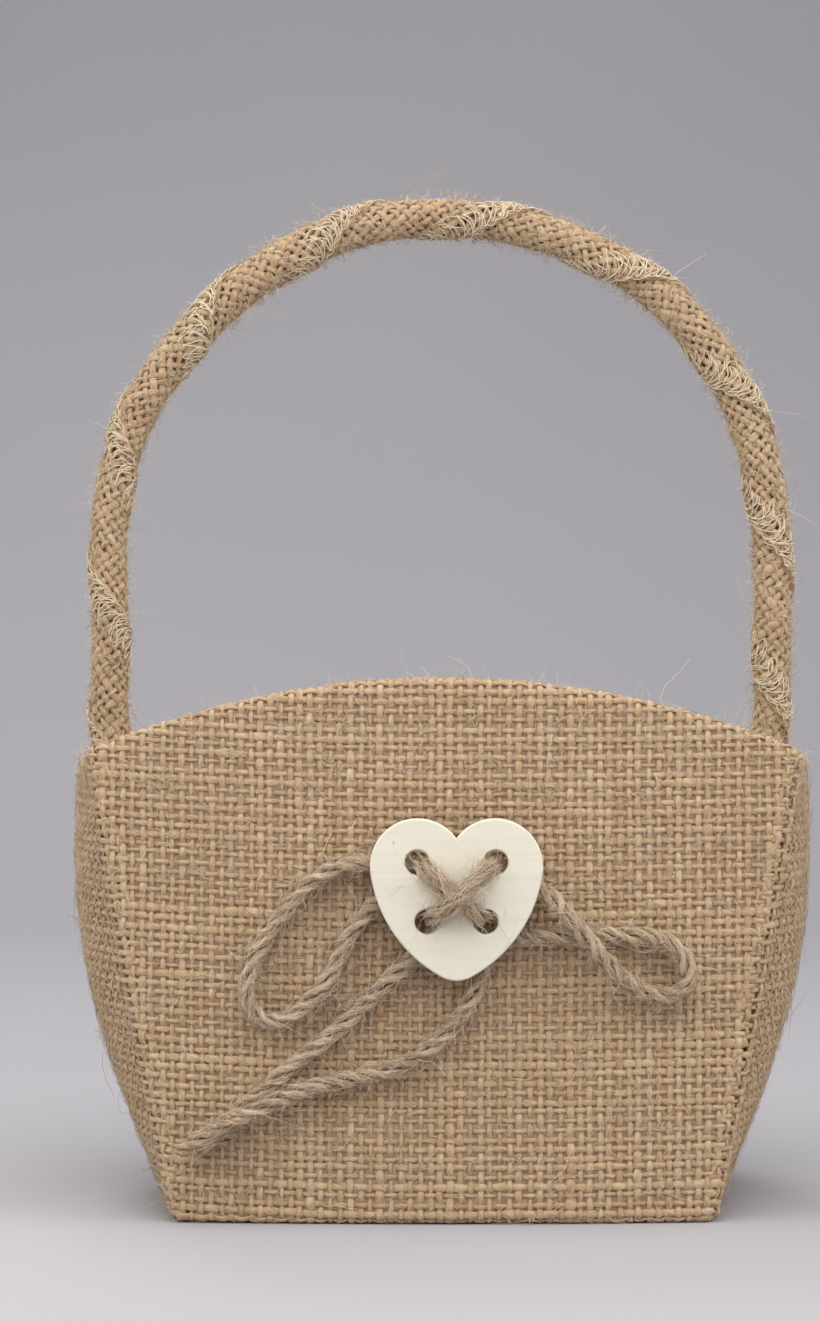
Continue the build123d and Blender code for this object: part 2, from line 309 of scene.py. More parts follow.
def stretched(tree, vector, scale):
    """Return coordinates scaled by (x, y, z)."""
    node = tree.nodes.new("ShaderNodeMapping")
    node.inputs["Scale"].default_value = scale
    tree.links.new(vector, node.inputs["Vector"])
    return node.outputs["Vector"]


def coordinates(tree, output):
    """Return one output of a Texture Coordinate node."""
    return tree.nodes.new("ShaderNodeTexCoord").outputs[output]


def math_node(tree, operation, first, second):
    """Return first and second, each a socket or a number, put through a Math node."""
    node = tree.nodes.new("ShaderNodeMath")
    node.operation = operation
    for socket, value in zip(node.inputs, (first, second)):
        if isinstance(value, (int, float)):
            socket.default_value = value
        else:
            tree.links.new(value, socket)
    return node.outputs[0]


def mixed(tree, factor, first, second):
    """Return the first colour socket mixed by a factor socket with a second, plain colour."""
    node = tree.nodes.new("ShaderNodeMix")
    node.data_type = "RGBA"
    tree.links.new(factor, node.inputs[0])
    tree.links.new(first, node.inputs[6])
    node.inputs[7].default_value = (*second, 1)
    return node.outputs[2]


def bump(tree, principled, height, strength, distance):
    """Bump a shader by a height socket."""
    node = tree.nodes.new("ShaderNodeBump")
    node.inputs["Strength"].default_value = strength
    node.inputs["Distance"].default_value = distance
    tree.links.new(height, node.inputs["Height"])
    tree.links.new(node.outputs["Normal"], principled.inputs["Normal"])


def fibre_height(tree, along, around, twist):
    """Return a streaky value for fibres that run along a yarn with some twist.

    The yarn's own map has millimetres along it in U and one turn round it in V.
    """
    uv = tree.nodes.new("ShaderNodeUVMap")
    uv.uv_map = "yarn"
    split = tree.nodes.new("ShaderNodeSeparateXYZ")
    tree.links.new(uv.outputs["UV"], split.inputs[0])
    turned = math_node(tree, "ADD", split.outputs[1], math_node(tree, "MULTIPLY", split.outputs[0], twist))
    angle = math_node(tree, "MULTIPLY", turned, 2 * math.pi)
    joined = tree.nodes.new("ShaderNodeCombineXYZ")
    tree.links.new(math_node(tree, "COSINE", angle, 0.0), joined.inputs[0])
    tree.links.new(math_node(tree, "SINE", angle, 0.0), joined.inputs[1])
    tree.links.new(math_node(tree, "MULTIPLY", split.outputs[0], along), joined.inputs[2])
    return noise(tree, joined.outputs[0], around, 2.0, 0.6)


def yarn_material(name, stops, along=0.16, around=1.9, twist=0.10, depth=0.0002, fleck=0.5):
    """Return jute yarn: a tint that varies from yarn to yarn, fibre streaks, and brown flecks."""
    material, tree, principled = shader(name, 0.9, 0.12)
    tint = tree.nodes.new("ShaderNodeAttribute")
    tint.attribute_name = "tint"
    streak = fibre_height(tree, along, around, twist)
    centred = math_node(tree, "SUBTRACT", streak, 0.5)
    value = math_node(tree, "ADD", tint.outputs["Fac"], math_node(tree, "MULTIPLY", centred, 1.4))
    base = ramp(tree, value, stops)
    place = coordinates(tree, "Object")
    patch = noise(tree, place, 420.0, 2.0)
    spots = ramp(tree, patch, [(0.60, (0, 0, 0)), (0.74, (fleck, fleck, fleck))])
    brown = mixed(tree, spots, base, (0.36, 0.19, 0.085))
    tree.links.new(brown, principled.inputs["Base Color"])
    bump(tree, principled, streak, 0.9, depth)
    return material


def board_material():
    """Return grey-brown card with a faint mottle and pressed fibres."""
    material, tree, principled = shader("card", 0.95)
    place = coordinates(tree, "Object")
    mottle = noise(tree, place, 160.0, 4.0)
    paint(tree, principled, mottle, [(0.3, (0.51, 0.36, 0.245)), (0.7, (0.60, 0.435, 0.305))])
    bump(tree, principled, noise(tree, stretched(tree, place, (1, 1, 0.3)), 900.0), 0.3, 0.0001)
    return material


def lining_material():
    """Return unbleached cotton with a fine weave."""
    material, tree, principled = shader("unbleached_cotton", 0.9, 0.1)
    place = coordinates(tree, "Object")
    lines = []
    for axis in ("X", "Z"):
        wave = tree.nodes.new("ShaderNodeTexWave")
        wave.bands_direction = axis
        wave.inputs["Scale"].default_value = 320.0
        wave.inputs["Distortion"].default_value = 0.6
        wave.inputs["Detail"].default_value = 1.0
        tree.links.new(place, wave.inputs["Vector"])
        lines.append(wave.outputs["Fac"])
    height = math_node(tree, "ADD", lines[0], lines[1])
    cloud = noise(tree, place, 60.0, 3.0)
    paint(tree, principled, cloud, [(0.3, (0.60, 0.51, 0.38)), (0.7, (0.70, 0.61, 0.47))])
    bump(tree, principled, height, 0.25, 0.0001)
    return material


def heart_material():
    """Return pale bare plywood: a fine level grain, faint growth bands and a few tiny specks."""
    material, tree, principled = shader("pale_birch", 0.6)
    place = coordinates(tree, "Object")
    bands = noise(tree, stretched(tree, place, (9, 20, 150)), 6.0, 4.0, 0.5)
    lines = noise(tree, stretched(tree, place, (14, 60, 420)), 9.0, 3.0, 0.6)
    specks = noise(tree, place, 700.0, 1.0)
    tones = [(0.25, (0.69, 0.645, 0.535)), (0.55, (0.72, 0.68, 0.57)), (0.8, (0.74, 0.70, 0.60))]
    wood = ramp(tree, bands, tones)
    faint = ramp(tree, lines, [(0.42, (0, 0, 0)), (0.75, (0.15, 0.15, 0.15))])
    grain = mixed(tree, faint, wood, (0.66, 0.56, 0.41))
    spots = ramp(tree, specks, [(0.76, (0, 0, 0)), (0.82, (0.5, 0.5, 0.5))])
    dotted = mixed(tree, spots, grain, (0.42, 0.30, 0.19))
    tree.links.new(dotted, principled.inputs["Base Color"])
    bump(tree, principled, lines, 0.1, 0.00005)
    return material


def metal_material():
    """Return plain drawn wire with fine lines along it."""
    material, tree, principled = shader("drawn_wire", 0.4)
    principled.inputs["Metallic"].default_value = 1.0
    lines = noise(tree, coordinates(tree, "Object"), 900.0, 2.0)
    paint(tree, principled, lines, [(0.3, (0.42, 0.42, 0.43)), (0.7, (0.56, 0.56, 0.57))])
    return material


BURLAP_STOPS = [
    (0.20, (0.37, 0.235, 0.125)),
    (0.40, (0.47, 0.317, 0.18)),
    (0.60, (0.51, 0.362, 0.218)),
    (0.82, (0.565, 0.425, 0.275)),
]
TWINE_STOPS = [
    (0.20, (0.26, 0.175, 0.105)),
    (0.42, (0.38, 0.27, 0.17)),
    (0.62, (0.465, 0.345, 0.228)),
    (0.86, (0.58, 0.455, 0.325)),
]
THREAD_STOPS = [(0.2, (0.55, 0.44, 0.30)), (0.7, (0.70, 0.60, 0.44))]
FIBRE_STOPS = [(0.2, (0.44, 0.32, 0.20)), (0.8, (0.74, 0.62, 0.46))]
FILLER_STOPS = [(0.2, (0.36, 0.26, 0.17)), (0.8, (0.52, 0.39, 0.27))]


# ---------------------------------------------------------------- meshes


def add_object(name, data):
    """Return a new object with the given data, linked into the scene."""
    made = bpy.data.objects.new(name, data)
    bpy.context.scene.collection.objects.link(made)
    return made


def wander(rng, place, size, longest):
    """Return smooth noise of about the given size along place, the sum of four sines of random phase."""
    total = np.zeros_like(place)
    for octave in range(4):
        length = longest / 2**octave * rng.uniform(0.8, 1.25)
        total += np.sin(2 * np.pi * (place / length + rng.random())) / 1.5**octave
    return total * size / 1.6


def distances(line):
    """Return how far along a line each of its points lies."""
    return np.concatenate([[0], np.cumsum(np.linalg.norm(np.diff(line, axis=0), axis=1))])


def flat_distances(first, second):
    """Return how far along a line in two directions each of its points lies."""
    return np.concatenate([[0], np.cumsum(np.hypot(np.diff(first), np.diff(second)))])


def unit(vectors):
    """Return each row scaled to length one."""
    return vectors / np.maximum(np.linalg.norm(vectors, axis=1, keepdims=True), 1e-9)


def carried_normals(line):
    """Return normals carried along a line without twisting."""
    tangents = unit(np.gradient(line, axis=0))
    start = np.cross(tangents[0], (0.3, 0.5, 0.8))
    normals = [start / np.linalg.norm(start)]
    for tangent in tangents[1:]:
        turned = normals[-1] - tangent * np.dot(normals[-1], tangent)
        normals.append(turned / np.linalg.norm(turned))
    return np.array(normals)


class Bundle:
    """Closed tubes, gathered to become one mesh with a yarn map and a tint."""

    def __init__(self):
        self.points, self.tints, self.faces, self.sizes, self.maps = [], [], [], [], []
        self.count = 0

    def tube(self, line, normals, wide, thick, tint, sides=6, start_turn=0.0):
        """Add a tube along line: wide and thick are half sizes, across the surface and along its normals."""
        rings = len(line)
        tangents = unit(np.gradient(line, axis=0))
        across = unit(np.cross(tangents, normals))
        up = np.cross(across, tangents)
        turn = np.arange(sides) / sides
        cosines = np.cos(2 * np.pi * turn)
        sines = np.sin(2 * np.pi * turn)
        wide = np.broadcast_to(wide, rings)[:, None, None]
        thick = np.broadcast_to(thick, rings)[:, None, None]
        ring = line[:, None] + wide * cosines[None, :, None] * across[:, None]
        ring = ring + thick * sines[None, :, None] * up[:, None]
        self.points.append(ring.reshape(-1, 3))
        self.tints.append(np.repeat(np.broadcast_to(tint, rings), sides))
        row = np.arange(rings - 1)[:, None]
        step = np.arange(sides)[None, :]
        after = (step + 1) % sides
        this_ring = row * sides
        next_ring = this_ring + sides
        quads = np.stack([this_ring + step, this_ring + after, next_ring + after, next_ring + step], -1)
        caps = np.stack([np.arange(sides)[::-1], (rings - 1) * sides + np.arange(sides)])
        self.faces.append(self.count + np.concatenate([quads.ravel(), caps.ravel()]))
        self.sizes.append(np.concatenate([np.full(quads.shape[0] * quads.shape[1], 4), np.full(2, sides)]))
        lengths = distances(line) + start_turn
        lower, upper = lengths[:-1, None], lengths[1:, None]
        left, right = step / sides, (step + 1) / sides
        one = np.ones((rings - 1, sides))
        corners = [(lower, left), (lower, right), (upper, right), (upper, left)]
        around = np.stack([np.stack([place * one, share * one], -1) for place, share in corners], 2)
        ends = [np.stack([np.full(sides, length), turn], -1) for length in (lengths[0], lengths[-1])]
        self.maps.append(np.concatenate([around.reshape(-1, 2), np.concatenate(ends)]))
        self.count += rings * sides

    def build(self, name, material):
        """Make the mesh object, in metres."""
        mesh = bpy.data.meshes.new(name)
        points = np.concatenate(self.points) * MM
        faces = np.concatenate(self.faces)
        sizes = np.concatenate(self.sizes)
        mesh.vertices.add(len(points))
        mesh.vertices.foreach_set("co", points.astype(np.float32).ravel())
        mesh.loops.add(len(faces))
        mesh.loops.foreach_set("vertex_index", faces.astype(np.int32))
        mesh.polygons.add(len(sizes))
        starts = np.concatenate([[0], np.cumsum(sizes)[:-1]])
        mesh.polygons.foreach_set("loop_start", starts.astype(np.int32))
        mesh.update(calc_edges=True)
        layer = mesh.uv_layers.new(name="yarn")
        layer.uv.foreach_set("vector", np.concatenate(self.maps).astype(np.float32).ravel())
        attribute = mesh.attributes.new("tint", "FLOAT", "POINT")
        attribute.data.foreach_set("value", np.concatenate(self.tints).astype(np.float32))
        mesh.shade_smooth()
        mesh.materials.append(material)
        return add_object(name, mesh)


def sheet_mesh(name, points, thickness, material):
    """Make a closed cloth from a grid of points, in millimetres, thickened along its normals."""
    rows, columns = points.shape[:2]
    across = np.gradient(points, axis=1)
    up = np.gradient(points, axis=0)
    normals = unit(np.cross(across, up).reshape(-1, 3)).reshape(points.shape)
    half = normals * thickness / 2
    both = np.concatenate([(points + half).reshape(-1, 3), (points - half).reshape(-1, 3)])
    index = np.arange(rows * columns).reshape(rows, columns)
    quads = np.stack([index[:-1, :-1], index[:-1, 1:], index[1:, 1:], index[1:, :-1]], -1).reshape(-1, 4)
    rim = np.concatenate([index[0, :], index[1:, -1], index[-1, -2::-1], index[-2:0:-1, 0]])
    after = np.roll(rim, -1)
    shift = rows * columns
    edge = np.stack([rim, rim + shift, after + shift, after], -1)
    faces = np.concatenate([quads, quads[:, ::-1] + shift, edge])
    mesh = bpy.data.meshes.new(name)
    mesh.from_pydata((both * MM).tolist(), [], faces.tolist())
    mesh.update()
    mesh.shade_smooth()
    mesh.materials.append(material)
    return add_object(name, mesh)


# ---------------------------------------------------------------- the walls' surfaces


def seam_half_width(z):
    """Half the width of the basket at the seams, at height z."""
    return SEAM_HALF_WIDTH_LOW + SEAM_TAPER * z


def bulge(z):
    """How far a gusset stands out past the seams, at height z."""
    return BULGE_LOW + BULGE_MORE * np.sin(np.pi * np.clip(z, 0, BULGE_SPAN) / BULGE_SPAN)


def rim_height(x):
    """Height of the arched rim at x."""
    return RIM_TOP - RIM_RADIUS + np.sqrt(RIM_RADIUS**2 - np.clip(np.abs(x), 0, RIM_RADIUS) ** 2)


def turned_edges(v, rim):
    """Return (height, how far inwards) of cloth at v.

    It turns in at the floor, goes up the wall, over the rim and down inside.
    """
    start = rim - RIM_ROLL
    over = np.clip((v - start) / RIM_ROLL, 0, np.pi)
    past = np.maximum(v - start - np.pi * RIM_ROLL, 0)
    turn = FLOOR_CLOTH + FLOOR_ROLL
    under = np.clip((turn - v) / FLOOR_ROLL, 0, np.pi / 2)
    height = np.where(v < start, v, start + RIM_ROLL * np.sin(over)) - past
    height = np.where(v < turn, turn - FLOOR_ROLL * np.sin(under), height)
    below = np.maximum(turn - v - FLOOR_ROLL * np.pi / 2, 0)
    return height, RIM_ROLL * (1 - np.cos(over)) + FLOOR_ROLL * (1 - np.cos(under)) + below


def turned_seam(distance, edge):
    """Return (distance out from the middle, how far inwards) of cloth that turns into a seam at edge."""
    past = np.maximum(np.abs(distance) - (edge - SEAM_ROLL), 0)
    turn = np.clip(past / SEAM_ROLL, 0, np.pi / 2)
    flat = np.where(past > 0, edge - SEAM_ROLL + SEAM_ROLL * np.sin(turn), np.abs(distance))
    inwards = SEAM_ROLL * (1 - np.cos(turn)) + np.maximum(past - SEAM_ROLL * np.pi / 2, 0)
    return np.sign(distance) * flat, inwards


def face_wall(side, inset):
    """Return the front (side -1) or back (side 1) wall as a function of u across and v up, at an inset."""

    def surface(u, v):
        x = -side * u
        height, inwards = turned_edges(v, rim_height(x))
        edge = seam_half_width(height) - inset + CLOTH_INSET - SEAM_INSET
        x, seam = turned_seam(x, edge)
        bow = PANEL_BOW * (1 - np.clip(np.abs(x) / edge, 0, 1) ** 2)
        y = side * (HALF_DEPTH - inset + bow - inwards - seam)
        return np.stack([x, y, height], -1)

    return surface


def gusset_rim(y):
    """Height of a gusset's rim at y."""
    share = 1 - np.clip(np.abs(y) / HALF_DEPTH, 0, 1) ** 2
    return rim_height(seam_half_width(RIM_TOP - RIM_RISE) + bulge(RIM_TOP - RIM_RISE) * share)


def gusset_wall(side, inset, ridge):
    """Return the left (side -1) or right (side 1) gusset as a function of u across and v up, at an inset.

    Ridge is how far the cloth stands out along each seam.
    """

    def surface(u, v):
        y = side * u
        edge = HALF_DEPTH - inset
        share = 1 - np.clip(np.abs(y) / edge, 0, 1) ** 2
        height, inwards = turned_edges(v, gusset_rim(y))
        raised = ridge * np.exp(-(((edge - RIDGE_IN - np.abs(y)) / RIDGE_WIDTH) ** 2))
        y, seam = turned_seam(y, edge)
        x = side * (seam_half_width(height) - inset + bulge(height) * share - inwards - seam + raised)
        return np.stack([x, y, height], -1)

    return surface


def face_keeps(u, v):
    """Whether cloth at (u, v) is part of the front or back wall's cut."""
    rim = rim_height(u)
    inside = v > rim + RIM_ROLL
    edge = seam_half_width(np.minimum(v, rim)) - CLOTH_INSET
    side = np.abs(u) < np.where(inside, edge - FACE_HEM_NARROWER, edge + FACE_SEAM_TURN)
    return side & (v > CUT_LOW) & (v < rim + RIM_ROLL * 2 + HEM)


def gusset_keeps(u, v):
    """Whether cloth at (u, v) is part of a gusset's cut."""
    rim = rim_height(seam_half_width(RIM_TOP - RIM_RISE) + bulge(RIM_TOP - RIM_RISE))
    inside = v > rim + RIM_ROLL
    side = np.abs(u) < np.where(inside, HALF_DEPTH - GUSSET_HEM_NARROWER, HALF_DEPTH + GUSSET_SEAM_TURN)
    return side & (v > CUT_LOW) & (v < rim + RIM_ROLL * 2 + HEM)


def floor_surface(u, v):
    """The underside of the basket, facing down, as a function of u across and v towards the front."""
    return np.stack([u, -v, np.full_like(u, FLOOR_CLOTH)], -1)


def floor_keeps(u, v):
    """Whether cloth at (u, v) is part of the floor's cut."""
    across = seam_half_width(0) + BULGE_LOW * (1 - (v / HALF_DEPTH) ** 2) - FLOOR_EDGE
    deep = HALF_DEPTH + PANEL_BOW * (1 - (u / SEAM_HALF_WIDTH_LOW) ** 2) - FLOOR_EDGE
    return (np.abs(u) < across) & (np.abs(v) < deep)


def surface_normals(surface, u, v):
    """Return unit normals of a surface, which face out where u is to the right of v."""
    step = 0.05
    across = surface(u + step, v) - surface(u - step, v)
    up = surface(u, v + step) - surface(u, v - step)
    return unit(np.cross(across, up))


# ---------------------------------------------------------------- the weave


def runs_of(kept):
    """Return (start, stop) of each unbroken run of True in a list of flags that is long enough."""
    edges = np.flatnonzero(np.diff(np.concatenate([[0], kept.astype(int), [0]])))
    return [(start, stop) for start, stop in zip(edges[::2], edges[1::2]) if stop - start >= SHORTEST_RUN]


def counts(number):
    """Return the counts of a yarn's crossings, with the steps between them."""
    return np.arange(0, number - 1 + 1e-6, 1 / STEPS)


def sagging(u):
    """How far up a weft yarn of a face bends away from the middle, at u."""
    return np.where(u < 0, SAG_LEFT, SAG_RIGHT) * u**2


def level(u):
    """The same for a weft yarn that stays level."""
    return np.zeros_like(u)


def yarn_width(rng, place, mean, spread):
    """Return a yarn's half width along place: its own size, slow swelling, and now and then a slub."""
    own = mean * math.exp(rng.normal(0, spread))
    width = own * (1 + wander(rng, place, 0.12, 24.0) + wander(rng, place, 0.07, 5.0))
    for _ in range(rng.poisson(max(place[-1] - place[0], 1.0) / 75.0)):
        centre = rng.uniform(place[0], place[-1])
        swell = rng.uniform(0.15, 0.5)
        length = rng.uniform(1.6, 4.5)
        width = width * (1 + swell * np.exp(-(((place - centre) / length) ** 2)))
    return width


def lay(bundle, rng, surface, u, v, count, kept, parity, wave, half_width, half_thick, sides, spread):
    """Lay one yarn on a surface along (u, v), over and under at each whole count."""
    beat = np.cos(np.pi * (count + parity))
    place = flat_distances(u, v)
    width = yarn_width(rng, place, half_width, spread)
    tone = 0.5 + rng.normal(0, 0.07) + wander(rng, place, 0.08, 40.0) + wander(rng, place, 0.08, 6.0)
    for start, stop in runs_of(kept):
        part = slice(start, stop)
        normals = surface_normals(surface, u[part], v[part])
        line = surface(u[part], v[part]) + normals * (wave * beat[part])[:, None]
        squash = 1 + 0.10 * beat[part]
        thick = half_thick * (width[part] / half_width) ** 0.6
        bundle.tube(line, normals, width[part] * squash, thick, tone[part], sides, rng.uniform(0, 50))


def woven(rng, surface, keeps, u_range, v_range, smile, sides):
    """Return (warp, weft): a plain weave on a surface, its warp along v and its weft along u."""
    columns = np.arange(u_range[0], u_range[1], PITCH_ACROSS)
    rows = np.arange(v_range[0], v_range[1], PITCH_UP)
    at_u = np.tile(columns, (len(rows), 1)) + rng.normal(0, 0.15, len(columns))[None, :]
    at_v = np.tile(rows[:, None], (1, len(columns))) + rng.normal(0, 0.11, len(rows))[:, None]
    at_v = at_v + smile(columns)[None, :]
    for column in range(len(columns)):
        at_u[:, column] += wander(rng, rows, 0.16, 50.0)
    for row in range(len(rows)):
        at_v[row] += wander(rng, columns, 0.14, 60.0)
    warp, weft = Bundle(), Bundle()
    row_index, column_index = np.arange(len(rows)), np.arange(len(columns))
    count = counts(len(rows))
    for column in column_index:
        u = np.interp(count, row_index, at_u[:, column])
        v = np.interp(count, row_index, at_v[:, column])
        lay(warp, rng, surface, u, v, count, keeps(u, v), column,
            WARP_WAVE, WARP_HALF_WIDTH, WARP_HALF_THICK, sides, WARP_SPREAD)
    count = counts(len(columns))
    for row in row_index:
        u = np.interp(count, column_index, at_u[row])
        v = np.interp(count, column_index, at_v[row])
        lay(weft, rng, surface, u, v, count, keeps(u, v), row + 1,
            WEFT_WAVE, WEFT_HALF_WIDTH, WEFT_HALF_THICK, sides, WEFT_SPREAD)
    return warp, weft


def fill_fold(bundle, rng, surface, rim, reach):
    """Lay the turned-under cut edge inside the fold of the rim, as one thick yarn."""
    u = np.arange(-reach, reach, 0.7)
    low = rim(u) - RIM_ROLL
    line = (surface(u, low) + surface(u, low + np.pi * RIM_ROLL)) / 2
    normals = np.broadcast_to(np.array([0.0, 0.0, 1.0]), line.shape)
    bundle.tube(line, normals, wide=0.75, thick=0.85, tint=0.45 + wander(rng, u, 0.1, 9.0))


def hair(bundle, rng, start, tangent, normal, length, lift, bend, radius, steps=5):
    """Add one loose fibre: it leaves start along tangent, bends sideways and rises by lift."""
    side = np.cross(normal, tangent)
    share = np.linspace(0, 1, steps)[:, None]
    rise = np.sin(share * rng.uniform(1.2, 2.9))
    line = start + tangent * share * length + side * bend * length * share**2 + normal * lift * rise
    line = line + side * 0.08 * length * np.sin(share * 7 + rng.uniform(0, 6))
    line[:, 1] = np.maximum(line[:, 1], FIBRE_FOREMOST)
    line[:, 2] = np.maximum(line[:, 2], FIBRE_LOWEST)
    normals = np.broadcast_to(np.cross(side, tangent) * 0.8 + side * 0.6, line.shape)
    taper = radius * (1 - 0.6 * share[:, 0])
    bundle.tube(line, normals, taper, taper, rng.uniform(0.2, 0.9), 3)


def stray(rng):
    """Return the length, lift, bend and radius of a long loose fibre."""
    length = rng.uniform(4.0, 11.0)
    lift = min(rng.exponential(1.1), 2.6)
    bend = rng.normal(0, 0.7)
    radius = rng.uniform(0.055, 0.09)
    return length, lift, bend, radius


def surface_hairs(bundle, rng, surface, keeps, u_range, v_range, count):
    """Scatter loose fibres over a woven surface; the first few are strays, which are longer and thicker."""
    strays = count // 28
    made = 0
    while made < count:
        u = np.array([rng.uniform(*u_range)])
        v = np.array([rng.uniform(*v_range)])
        if not keeps(u, v)[0]:
            continue
        made += 1
        normal = surface_normals(surface, u, v)[0]
        turn = rng.uniform(0, 2 * np.pi)
        across = surface(u + 0.1, v)[0] - surface(u, v)[0]
        up = surface(u, v + 0.1)[0] - surface(u, v)[0]
        tangent = math.cos(turn) * across + math.sin(turn) * up
        tangent = tangent / np.linalg.norm(tangent)
        start = surface(u, v)[0] + normal * 0.5
        if made <= strays:
            hair(bundle, rng, start, tangent, normal, *stray(rng))
            continue
        length = min(rng.lognormal(0.75, 0.5), 8.0)
        lifted = 0.9 * rng.uniform(0.1, 1.0) ** 1.5
        radius = rng.uniform(0.035, 0.075)
        hair(bundle, rng, start, tangent, normal, length, lifted, rng.normal(0, 0.5), radius, steps=4)


# ---------------------------------------------------------------- the handle


def handle_frame(along):
    """Return (centre, right, flatness) of the handle at distances along it from the left tab's lower end.

    Right is the handle's own right side, seen from the front with the way along it as up. Flatness is 1
    where the wrap is pressed flat and sewn to a gusset, and 0 where it is round.
    """
    turn = np.clip((along - LEG) / HANDLE_RADIUS, 0, np.pi)
    past = np.maximum(along - LEG - ARC, 0)
    height = np.where(along < LEG, TAB_LOW + along, ARCH_CENTRE_Z + HANDLE_RADIUS * np.sin(turn) - past)
    from_end = np.minimum(along, HANDLE_LENGTH - along)
    share = np.clip((HINGE_AT - FLAT_UNDER_HINGE - from_end) / FLATTENS_OVER, 0, 1)
    flat = share * share * (3 - 2 * share)
    sway = 0.8 * np.sin(along / 31.0) + 0.6 * np.sin(along / 13.0 + 1.0)
    sway = sway * (1 - flat)
    dip = 1.2 * np.exp(-(((from_end - HINGE_AT + 4.0) / 6.0) ** 2)) * (1 - flat)
    reach = HANDLE_RADIUS + flat * (TAB_X - HANDLE_RADIUS) + sway * 0.6 - dip
    x = -np.cos(turn) * reach
    right = np.stack([np.cos(turn), np.zeros_like(turn), -np.sin(turn)], -1)
    height = height + np.sin(turn) * sway * 0.6
    return np.stack([x, np.zeros_like(x), height], -1), right, flat


def wrap_point(around, along, lift):
    """Return points on the wrap, by distance round it from its front and along it, raised by lift."""
    centre, right, flat = handle_frame(along)
    angle = around / WRAP_RADIUS
    at_top = np.exp(-(((along - HANDLE_LENGTH / 2) / 45.0) ** 2))
    swell = 1 + 0.06 * np.sin(along / 23.0 + 2.0) + 0.05 * at_top
    round_radius = (WRAP_RADIUS - STRIP_DEPTH) * swell + lift
    side = (1 - flat) * round_radius + flat * (TAB_HALF_THICK + lift)
    deep = (1 - flat) * round_radius + flat * (TAB_HALF_WIDTH + 0.3 * lift)
    return centre + (deep * np.cos(angle))[:, None] * FRONT + (side * np.sin(angle))[:, None] * right


def strip_point(p, q, lift):
    """Return points of the wound strip, by distance along it and across it from its middle."""
    around = -p * math.sin(WIND_ANGLE) + q * math.cos(WIND_ANGLE)
    along = p * math.cos(WIND_ANGLE) + q * math.sin(WIND_ANGLE)
    edge = np.clip((q - (STRIP_WIDTH / 2 - LAP_WIDTH)) / LAP_RAMP, 0, 1)
    lapped = LAP_RISE * edge * edge * (3 - 2 * edge)
    return wrap_point(around, along, lift + lapped), along


def strip_normals(p, q):
    """Return unit normals of the wound strip."""
    step = 0.05
    across = strip_point(p, q + step, 0.0)[0] - strip_point(p, q - step, 0.0)[0]
    forward = strip_point(p + step, q, 0.0)[0] - strip_point(p - step, q, 0.0)[0]
    return unit(np.cross(across, forward))


def lay_on_strip(bundle, rng, p, q, count, parity):
    """Lay one yarn of the wound strip along (p, q), over and under at each whole count."""
    beat = np.cos(np.pi * (count + parity))
    place = flat_distances(p, q)
    width = yarn_width(rng, place, STRIP_HALF_WIDTH, WARP_SPREAD)
    tone = 0.5 + rng.normal(0, 0.06) + wander(rng, place, 0.07, 30.0) + wander(rng, place, 0.08, 6.0)
    points, along = strip_point(p, q, STRIP_WAVE * beat)
    normals = strip_normals(p, q)
    for start, stop in runs_of((along > 0) & (along < HANDLE_LENGTH)):
        part = slice(start, stop)
        thick = STRIP_HALF_THICK * (width[part] / STRIP_HALF_WIDTH) ** 0.6
        turn = rng.uniform(0, 50)
        bundle.tube(points[part], normals[part], width[part], thick, tone[part], start_turn=turn)


def wound_strip(rng):
    """Return the bundle of the wound strip's yarns."""
    bundle = Bundle()
    lanes = np.arange(-STRIP_WIDTH / 2 + 0.8, STRIP_WIDTH / 2 - 0.5, STRIP_PITCH)
    crossings = np.arange(-STRIP_WIDTH, STRIP_LENGTH, STRIP_PITCH) + STRIP_PHASE
    at_q = lanes[None, :] + rng.normal(0, 0.12, len(lanes))[None, :] + np.zeros((len(crossings), 1))
    at_p = crossings[:, None] + rng.normal(0, 0.12, len(crossings))[:, None] + np.zeros((1, len(lanes)))
    for lane in range(len(lanes)):
        at_q[:, lane] += wander(rng, crossings, 0.2, 60.0)
    for crossing in range(len(crossings)):
        at_p[crossing] += wander(rng, lanes, 0.18, 25.0)
    crossing_index, lane_index = np.arange(len(crossings)), np.arange(len(lanes))
    count = counts(len(crossings))
    for lane in lane_index:
        p = np.interp(count, crossing_index, at_p[:, lane])
        q = np.interp(count, crossing_index, at_q[:, lane])
        lay_on_strip(bundle, rng, p, q, count, lane)
    count = counts(len(lanes))
    for crossing in crossing_index:
        p = np.interp(count, lane_index, at_p[crossing])
        q = np.interp(count, lane_index, at_q[crossing])
        lay_on_strip(bundle, rng, p, q, count, crossing + 1)
    return bundle


def serging(rng):
    """Return the bundle of the cream overlocking thread, looped along the strip's upper edge."""
    bundle = Bundle()
    outer = STRIP_WIDTH / 2 - 0.2
    place = np.arange(-STRIP_WIDTH, STRIP_LENGTH, SERGE_SPACING)
    for period, middle, swing, loop in ((3.7, 3.2, 3.2, 0.9), (4.6, 2.7, 2.6, 1.3), (5.9, 3.7, 3.0, 0.6)):
        phase = 2 * np.pi * place / period + wander(rng, place, 1.1, 17.0)
        across = outer - middle + swing * np.sin(phase) + wander(rng, place, 0.5, 7.0)
        forward = place + loop * np.sin(2 * phase + rng.uniform(0, 6)) + wander(rng, place, 0.5, 9.0)
        add_thread(bundle, rng, forward, across)
    across = outer + 0.25 * np.sin(place * 1.9) + wander(rng, place, 0.25, 6.0)
    add_thread(bundle, rng, place, across)
    return bundle


